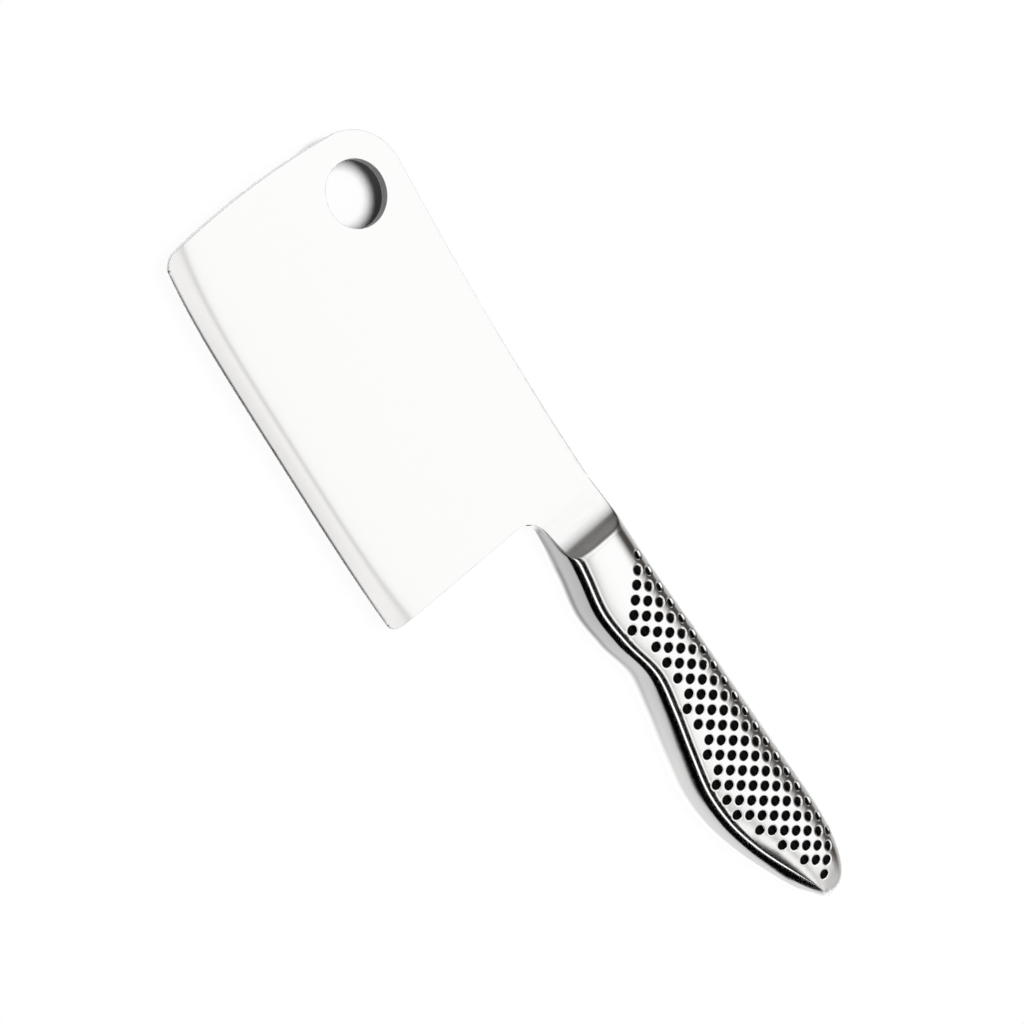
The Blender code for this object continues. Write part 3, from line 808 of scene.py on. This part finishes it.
def shell_mesh():
    """Right half shell with its dimples, cavity and rims."""
    xs = shell_stations()
    grid_x, grid_s = np.meshgrid(xs, S_STEPS, indexing="ij")
    grid_y, grid_z = section_point(grid_x, grid_s)
    places = dimple_places()
    frames = [dimple_frame(x, y) for x, y, row in places]
    keep = np.ones(grid_x.shape, bool)
    for centre, normal, first, second in frames:
        off = np.stack([grid_x, grid_y, grid_z], axis=-1) - centre
        along = off @ normal
        across = np.linalg.norm(off - along[..., None] * normal, axis=-1)
        keep &= (across > GUARD_RADIUS + GRID_CLEARANCE) | (np.abs(along) > GRID_REACH)
    keep[0, :] = keep[-1, :] = keep[:, 0] = keep[:, -1] = True
    numbers = -np.ones(grid_x.shape, int)
    numbers[keep] = np.arange(keep.sum())
    points = [tuple(p) for p in np.stack([grid_x[keep], grid_y[keep], grid_z[keep]], axis=1)]
    plan = [tuple(p) for p in domain(grid_x[keep], grid_s[keep])]
    border = [*numbers[:, 0], *numbers[-1, 1:], *numbers[-2::-1, -1], *numbers[0, -2:0:-1]]
    edges = loop_edges([int(i) for i in border])
    rims = []
    for centre, normal, first, second in frames:
        for radius in (DIMPLE_RINGS[0], GUARD_RADIUS):
            ring = surface_ring(centre, normal, first, second, radius)
            s = side_s(ring[:, 0], ring[:, 1])
            start = len(points)
            points += [tuple(p) for p in ring]
            plan += [tuple(p) for p in domain(ring[:, 0], s)]
            ring_numbers = list(range(start, len(points)))
            if radius == DIMPLE_RINGS[0]:
                rims.append(ring_numbers)
                edges += loop_edges(ring_numbers)
    rim_of = {}
    for k, ring_numbers in enumerate(rims):
        for number in ring_numbers:
            rim_of[number] = k
    faces = []
    for face in triangulate(plan, edges):
        rim = [rim_of.get(v) for v in face]
        if rim[0] is not None and rim[0] == rim[1] == rim[2]:
            continue
        faces.append(face)
    for (centre, normal, first, second), ring_numbers in zip(frames, rims):
        outer = ring_numbers
        for radius in DIMPLE_RINGS[1:]:
            ring = surface_ring(centre, normal, first, second, radius) - normal * bowl_depth(radius)
            start = len(points)
            points += [tuple(p) for p in ring]
            inner = list(range(start, len(points)))
            faces += strip(outer, inner, True)
            outer = inner
        points.append(tuple(centre - normal * bowl_depth(0.0)))
        bottom = len(points) - 1
        for a, b in loop_edges(outer):
            faces.append((a, b, bottom))
    tip = len(points)
    points.append((TAIL_X, BLADE_HEIGHT - TAIL_TIP_DROP, 0.0))
    for a, b in zip(numbers[-1], numbers[-1][1:]):
        faces.append((int(a), tip, int(b)))
    groups = [0] * len(faces)

    cavity_end = TAIL_X - TAIL_WALLS * SHELL_WALL
    inner_x = xs[0] + (xs - xs[0]) * (cavity_end - xs[0] - CAVITY_END_GAP) / (xs[-1] - xs[0])
    inside_x, inside_s = np.meshgrid(inner_x, S_STEPS, indexing="ij")
    inside_y, inside_z = section_point(inside_x, inside_s, SHELL_WALL)
    start = len(points)
    points += [tuple(p) for p in np.stack([inside_x, inside_y, inside_z], axis=-1).reshape(-1, 3)]
    cavity = start + np.arange(inside_x.size).reshape(inside_x.shape)
    cavity_faces = []
    for a, b in zip(cavity, cavity[1:]):
        cavity_faces += strip([int(i) for i in a], [int(i) for i in b])
    cavity_tip = len(points)
    points.append((cavity_end, BLADE_HEIGHT - TAIL_TIP_DROP, 0.0))
    for a, b in zip(cavity[-1], cavity[-1][1:]):
        cavity_faces.append((int(b), cavity_tip, int(a)))
    faces += cavity_faces
    groups += [1] * len(cavity_faces)
    rim_faces = strip([int(i) for i in numbers[0]], [int(i) for i in cavity[0]])
    groups += [2] * len(rim_faces)
    bottom_outer = [int(i) for i in numbers[:, 0]] + [tip]
    bottom_inner = [int(i) for i in cavity[:, 0]] + [cavity_tip]
    top_outer = [int(i) for i in numbers[:, -1]] + [tip]
    top_inner = [int(i) for i in cavity[:, -1]] + [cavity_tip]
    seam_faces = strip(bottom_inner, bottom_outer) + strip(top_outer, top_inner)
    groups += [3] * len(seam_faces)
    faces += rim_faces + seam_faces
    return points, faces, groups


def paint_mesh():
    """Lens of paint in each dimple, a little lower in the rows next to the handle's top."""
    points = []
    faces = []
    angles = np.linspace(0, 2 * math.pi, DIMPLE_SIDES, endpoint=False)

    def add(frame_of_dimple, reach, shift, lift):
        """One ring of a lens, or its middle where the reach is 0."""
        centre, normal, first, second = frame_of_dimple
        count = DIMPLE_SIDES if reach > 0 else 1
        radius = (PAINT_RADIUS - shift) * reach
        along = radius * np.cos(angles[:count])
        up = radius * np.sin(angles[:count]) - shift
        ring = onto_surface(centre + along[:, None] * first + up[:, None] * second, normal)
        depth = bowl_depth(np.hypot(along, up)) - lift * (PAINT_EDGE + PAINT_THICKNESS * (1 - reach**4))
        start = len(points)
        points.extend(tuple(p) for p in ring - depth[:, None] * normal)
        return list(range(start, len(points)))

    for x, y, row in dimple_places():
        frame_of_dimple = dimple_frame(x, y)
        shift = PAINT_SHIFT_BY_ROW[row] if row < len(PAINT_SHIFT_BY_ROW) else 0.0
        upper = [add(frame_of_dimple, reach, shift, 1) for reach in PAINT_RINGS]
        top = add(frame_of_dimple, 0.0, shift, 1)[0]
        lower = [add(frame_of_dimple, reach, shift, -1) for reach in PAINT_RINGS]
        bottom = add(frame_of_dimple, 0.0, shift, -1)[0]
        for a, b in zip(upper, upper[1:]):
            faces += strip(a, b, True)
        for a, b in zip(lower, lower[1:]):
            faces += strip(b, a, True)
        faces += strip(lower[0], upper[0], True)
        faces += [(a, b, top) for a, b in loop_edges(upper[-1])]
        faces += [(b, a, bottom) for a, b in loop_edges(lower[-1])]
    return points, faces


# Materials

def new_material(name):
    material = bpy.data.materials.new(name)
    material.use_nodes = True
    nodes = material.node_tree.nodes
    return material, nodes, material.node_tree.links, nodes["Principled BSDF"]


def feed(links, socket, given):
    """Link a socket to another one, or give it a plain value."""
    if isinstance(given, bpy.types.NodeSocket):
        links.new(given, socket)
    else:
        socket.default_value = given


def math_node(nodes, links, operation, first, second):
    node = nodes.new("ShaderNodeMath")
    node.operation = operation
    feed(links, node.inputs[0], first)
    feed(links, node.inputs[1], second)
    return node.outputs["Value"]


def map_range(nodes, links, value, given, wanted=(0.0, 1.0), interpolation="LINEAR"):
    """A value moved from one range into another."""
    node = nodes.new("ShaderNodeMapRange")
    node.interpolation_type = interpolation
    links.new(value, node.inputs["Value"])
    for label, number in zip(("From Min", "From Max", "To Min", "To Max"), (*given, *wanted)):
        node.inputs[label].default_value = number
    return node.outputs["Result"]


def colour_mix(nodes, links, factor, first, second, blend="MIX"):
    node = nodes.new("ShaderNodeMix")
    node.data_type = "RGBA"
    node.blend_type = blend
    feed(links, node.inputs["Factor"], factor)
    feed(links, node.inputs["A"], first)
    feed(links, node.inputs["B"], second)
    return node.outputs["Result"]


def shader_mix(nodes, links, factor, first, second):
    node = nodes.new("ShaderNodeMixShader")
    links.new(factor, node.inputs["Fac"])
    links.new(first, node.inputs[1])
    links.new(second, node.inputs[2])
    return node.outputs["Shader"]


def noise_over(nodes, links, scale):
    """Noise over the object's own coordinates."""
    where = nodes.new("ShaderNodeTexCoord")
    noise = nodes.new("ShaderNodeTexNoise")
    noise.inputs["Scale"].default_value = scale
    links.new(where.outputs["Object"], noise.inputs["Vector"])
    return noise.outputs["Fac"]


def steel(name, colour, roughness, grain, stretch, bump, spread=0.05):
    """Metal with fine grain stretched one way."""
    material, nodes, links, shader = new_material(name)
    shader.inputs["Metallic"].default_value = 1.0
    shader.inputs["Base Color"].default_value = (*colour, 1.0)
    where = nodes.new("ShaderNodeTexCoord")
    scale = nodes.new("ShaderNodeMapping")
    scale.inputs["Scale"].default_value = [s * grain for s in stretch]
    noise = nodes.new("ShaderNodeTexNoise")
    noise.inputs["Scale"].default_value = 1.0
    noise.inputs["Detail"].default_value = 3.0
    noise.inputs["Roughness"].default_value = 0.6
    links.new(where.outputs["Object"], scale.inputs["Vector"])
    links.new(scale.outputs["Vector"], noise.inputs["Vector"])
    wanted = (roughness - spread, roughness + spread)
    rough = map_range(nodes, links, noise.outputs["Fac"], (0.3, 0.7), wanted)
    links.new(rough, shader.inputs["Roughness"])
    lift = nodes.new("ShaderNodeBump")
    lift.inputs["Strength"].default_value = bump
    lift.inputs["Distance"].default_value = GRAIN_DEPTH
    links.new(noise.outputs["Fac"], lift.inputs["Height"])
    links.new(lift.outputs["Normal"], shader.inputs["Normal"])
    return material


def paint_material():
    material, nodes, links, shader = new_material("dimple_paint")
    shader.inputs["Base Color"].default_value = (0.0015, 0.0014, 0.0014, 1.0)
    shader.inputs["Specular IOR Level"].default_value = 0.05
    rough = map_range(nodes, links, noise_over(nodes, links, 2600.0), (0.0, 1.0), (0.12, 0.24))
    links.new(rough, shader.inputs["Roughness"])
    return material


def sand_material():
    material, nodes, links, shader = new_material("sand")
    shader.inputs["Roughness"].default_value = 0.95
    ramp = nodes.new("ShaderNodeValToRGB")
    ramp.color_ramp.elements[0].color = (0.45, 0.34, 0.20, 1.0)
    ramp.color_ramp.elements[1].color = (0.85, 0.75, 0.58, 1.0)
    links.new(noise_over(nodes, links, 2500.0), ramp.inputs["Fac"])
    links.new(ramp.outputs["Color"], shader.inputs["Base Color"])
    return material


# Stage

def sky_band(nodes, links, rise, run, stops):
    """Brightness of the room by the angle of a direction from straight up, toward one side."""
    angle = math_node(nodes, links, "ARCTAN2", run, rise)
    ramp = nodes.new("ShaderNodeValToRGB")
    links.new(map_range(nodes, links, angle, (-math.pi, math.pi)), ramp.inputs["Fac"])
    elements = ramp.color_ramp.elements
    while len(elements) < len(stops):
        elements.new(0.5)
    for element, (degrees, colour) in zip(elements, stops):
        element.position = 0.5 + degrees / 360
        element.color = (*colour, 1.0)
    return ramp.outputs["Color"]


def background(nodes, links, colour, strength):
    node = nodes.new("ShaderNodeBackground")
    node.inputs["Strength"].default_value = strength
    feed(links, node.inputs["Color"], colour)
    return node.outputs["Background"]


def make_world():
    """White for the camera; for the metal a white ceiling, dark walls, one bright slot and grey ends."""
    world = bpy.data.worlds.new("studio")
    bpy.context.scene.world = world
    world.use_nodes = True
    nodes = world.node_tree.nodes
    links = world.node_tree.links
    where = nodes.new("ShaderNodeTexCoord")
    parts = nodes.new("ShaderNodeSeparateXYZ")
    links.new(where.outputs["Generated"], parts.inputs["Vector"])
    x, y, z = parts.outputs
    across = sky_band(nodes, links, z, y, ACROSS_STOPS)
    along = sky_band(nodes, links, z, x, ALONG_STOPS)
    room = colour_mix(nodes, links, 1.0, across, along, "MULTIPLY")
    beyond_x = map_range(nodes, links, x, BEYOND_TAIL_X)
    beyond_y = map_range(nodes, links, y, BEYOND_TAIL_Y)
    beyond = math_node(nodes, links, "MULTIPLY", beyond_x, beyond_y)
    room = colour_mix(nodes, links, beyond, room, BEYOND_TAIL)
    room = colour_mix(nodes, links, map_range(nodes, links, x, BEFORE_FRONT_X), room, BEFORE_FRONT)
    rays = nodes.new("ShaderNodeLightPath").outputs
    shiny = math_node(nodes, links, "MAXIMUM", rays["Is Glossy Ray"], rays["Is Transmission Ray"])
    fill = background(nodes, links, WHITE, FILL_LEVEL)
    seen = shader_mix(nodes, links, shiny, fill, background(nodes, links, room, ROOM_LEVEL))
    backdrop = background(nodes, links, WHITE, 1.0)
    seen = shader_mix(nodes, links, rays["Is Camera Ray"], seen, backdrop)
    links.new(seen, nodes["World Output"].inputs["Surface"])


def make_lamp():
    """Soft lamp almost straight above, which gives the floor its shadow."""
    lamp = bpy.data.lights.new("ceiling", "SUN")
    lamp.energy = LAMP_LEVEL * math.pi
    lamp.angle = math.radians(LAMP_WIDTH)
    thing = bpy.data.objects.new("ceiling", lamp)
    thing.visible_glossy = False
    thing.rotation_euler = (math.radians(LAMP_LEAN[0]), math.radians(LAMP_LEAN[1]), 0.0)
    bpy.context.scene.collection.objects.link(thing)


def make_floor():
    """White floor; its shadow is at full depth inside the hanging hole and faint elsewhere.

    The steel over a shadow doesn't send the floor's own light back into it.
    """
    bm = bmesh.new()
    below = Matrix.Translation((0, 0, -FLOOR_BELOW))
    bmesh.ops.create_grid(bm, x_segments=1, y_segments=1, size=FLOOR_HALF_SIZE, matrix=below)
    mesh = bpy.data.meshes.new("floor")
    bm.to_mesh(mesh)
    bm.free()
    floor = bpy.data.objects.new("floor", mesh)
    bpy.context.scene.collection.objects.link(floor)
    material, nodes, links, shader = new_material("floor")
    shader.inputs["Roughness"].default_value = 1.0
    shader.inputs["Specular IOR Level"].default_value = 0.0
    where = nodes.new("ShaderNodeTexCoord")
    reach = nodes.new("ShaderNodeVectorMath")
    reach.operation = "DISTANCE"
    hole = place((*HOLE_CENTRE, 0.0))
    reach.inputs[1].default_value = (hole[0], hole[1], 0.0)
    links.new(where.outputs["Object"], reach.inputs[0])
    radii = [radius * MM for radius in DEEP_SHADOW_RADII]
    outside = map_range(nodes, links, reach.outputs["Value"], radii, interpolation="SMOOTHSTEP")
    rays = nodes.new("ShaderNodeLightPath").outputs
    first_bounce = math_node(nodes, links, "LESS_THAN", rays["Diffuse Depth"], 0.5)
    colour = colour_mix(nodes, links, first_bounce, BLACK, FLOOR_COLOUR)
    links.new(colour, shader.inputs["Base Color"])
    white_share = 0.0
    for ray, share in (
        ("Is Camera Ray", FLOOR_WHITE_SEEN),
        ("Is Glossy Ray", FLOOR_WHITE_REFLECTED),
        ("Is Transmission Ray", FLOOR_WHITE_SEEN),
    ):
        part = math_node(nodes, links, "MULTIPLY", rays[ray], share)
        white_share = math_node(nodes, links, "ADD", part, white_share)
    for share in (outside, first_bounce):
        white_share = math_node(nodes, links, "MULTIPLY", white_share, share)
    white = nodes.new("ShaderNodeEmission")
    white.inputs["Color"].default_value = WHITE
    white.inputs["Strength"].default_value = 1.0
    mix = shader_mix(nodes, links, white_share, shader.outputs["BSDF"], white.outputs["Emission"])
    links.new(mix, nodes["Material Output"].inputs["Surface"])
    mesh.materials.append(material)


def make_card(name, lines, levels):
    """Strip through the lines, which only the metal sees, with its brightness at each line."""
    count = len(lines[0])
    mesh = bpy.data.meshes.new(name)
    rows = [list(range(k * count, (k + 1) * count)) for k in range(len(lines))]
    faces = []
    for first, second in zip(rows, rows[1:]):
        faces += strip(first, second)
    mesh.from_pydata([tuple(p) for line in lines for p in place(line)], [], faces)
    level = mesh.attributes.new("level", "FLOAT", "POINT")
    level.data.foreach_set("value", np.ravel(levels))
    card = bpy.data.objects.new(name, mesh)
    bpy.context.scene.collection.objects.link(card)
    material, nodes, links, shader = new_material(name)
    reading = nodes.new("ShaderNodeAttribute")
    reading.attribute_name = "level"
    glow = nodes.new("ShaderNodeEmission")
    links.new(reading.outputs["Fac"], glow.inputs["Strength"])
    links.new(glow.outputs["Emission"], nodes["Material Output"].inputs["Surface"])
    mesh.materials.append(material)
    card.visible_camera = False
    card.visible_diffuse = False
    card.visible_shadow = False
    card.visible_transmission = False


def front_card_away(x):
    """How far before the belly the card stands, so that only the ridge and not the belly shows it."""
    low, high, width, ridge, radius, middle, tilt, centre_z, side_y = section_shape(x)
    bulge, angle = belly_shape(x, low, high, radius, centre_z)
    seen_from = math.atan2(-CAMERA_DIRECTION[1], CAMERA_DIRECTION[2])
    shown = angle - np.radians(smooth(FRONT_CARD_ANGLE, handle_share(x)))
    drop = np.maximum(2 * shown - seen_from - math.pi / 2, 0.1)
    return np.clip((HALF_THICKNESS + centre_z) / np.tan(drop), FRONT_CARD_NEAR, FRONT_CARD_FAR)


def make_cards():
    """Black card before the handle, grey one behind it and one on the floor under its belly, with painted
    light and shade.
    """
    xs = np.linspace(BLADE_LENGTH + CARD_START, TAIL_X + CARD_OVERHANG, CARD_STATIONS)
    along = np.minimum(xs, TAIL_X - 1.0)
    belly = belly_y(along)
    away = front_card_away(along)
    back = top_y(along) + BACK_CARD_AWAY
    start, end = BELLY_CARD_CHANGE
    toward_tail = np.clip((handle_share(xs) - start) / (end - start), 0.0, 1.0)

    def line(y, height):
        return np.stack([xs, y, np.full(len(xs), height - HALF_THICKNESS)], axis=1)

    black = np.zeros(len(xs))
    lines = (line(belly - away, 0.0), line(belly - away, FRONT_CARD_HEIGHT))
    make_card("front_card", lines, (black, black))
    lines = (line(back, 0.0), line(back, BACK_CARD_HEIGHT))
    make_card("back_card", lines, [np.full(len(xs), level) for level in BACK_CARD_LEVELS])
    # The belly card's brightness is painted light and shade of the floor under the belly, seen only in the
    # metal.
    lines = [line(belly - reach, BELLY_CARD_HEIGHT) for reach in (*BELLY_CARD_AWAY, away)]
    levels = [a + (b - a) * toward_tail for a, b in zip(BELLY_CARD_FRONT, BELLY_CARD_BACK)]
    make_card("belly_card", lines, levels)


def make_camera():
    camera = bpy.data.cameras.new("camera")
    camera.lens = CAMERA_LENS
    camera.sensor_width = CAMERA_SENSOR
    camera.clip_start = 0.01
    camera.clip_end = 20.0
    back = Vector(CAMERA_DIRECTION).normalized()
    right = Vector(CAMERA_RIGHT)
    right = (right - back * right.dot(back)).normalized()
    up = back.cross(right)
    eye = Vector(CAMERA_TARGET) + back * CAMERA_DISTANCE
    matrix = Matrix((right, up, back)).transposed().to_4x4()
    matrix.translation = Vector(place(tuple(eye)))
    thing = bpy.data.objects.new("camera", camera)
    thing.matrix_world = matrix
    bpy.context.scene.collection.objects.link(thing)
    bpy.context.scene.camera = thing


def main():
    blade_steel = steel("blade_steel", (0.92, 0.92, 0.915), 0.22, 3000.0, (1.0, 0.10, 1.0), 0.02, 0.015)
    cut_steel = steel("cut_steel", (0.80, 0.80, 0.80), 0.35, 6000.0, (1.0, 1.0, 0.2), 0.08, 0.05)
    # The hanging hole's wall is the blade's steel painted dark grey: painted shade standing in for the
    # shadowed floor that the wall mirrors.
    hole_wall_painted_shade = steel("hole_wall_painted_shade", (0.18, 0.18, 0.18), 0.45, 6000.0, (1.0, 1.0, 0.2), 0.5, 0.05)
    handle_steel = steel("handle_steel", (0.90, 0.90, 0.895), 0.17, 6000.0, (1.0, 1.0, 1.0), 0.25, 0.04)
    neck_steel = steel("neck_steel", (0.92, 0.92, 0.915), 0.22, 4500.0, (1.0, 0.10, 1.0), 0.45, 0.04)
    paint = paint_material()
    steels = (blade_steel, cut_steel, hole_wall_painted_shade)
    points, faces, groups = blade_mesh()
    make_piece("blade_skin", points, faces, groups, steels, ("blade",), False)
    points, faces, groups = neck_mesh()
    make_piece("neck_skin", points, faces, groups, (neck_steel,), ("neck",))
    points, faces, groups = shell_mesh()
    for side in ("right", "left"):
        node = "handle_shell_" + side
        make_piece(node + "_skin", points, faces, groups, (handle_steel,), (node,))
        points, faces = mirrored(points, faces)
    points, faces = paint_mesh()
    groups = [0] * len(faces)
    for side in ("right", "left"):
        name = "dimple_paint_" + side
        make_piece(name, points, faces, groups, (paint,), (), False)
        points, faces = mirrored(points, faces)
    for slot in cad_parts["sand_fill"].material_slots:
        slot.material = sand_material()
    make_world()
    make_lamp()
    make_floor()
    make_cards()
    make_camera()
    bpy.context.scene.view_settings.view_transform = "Standard"


main()
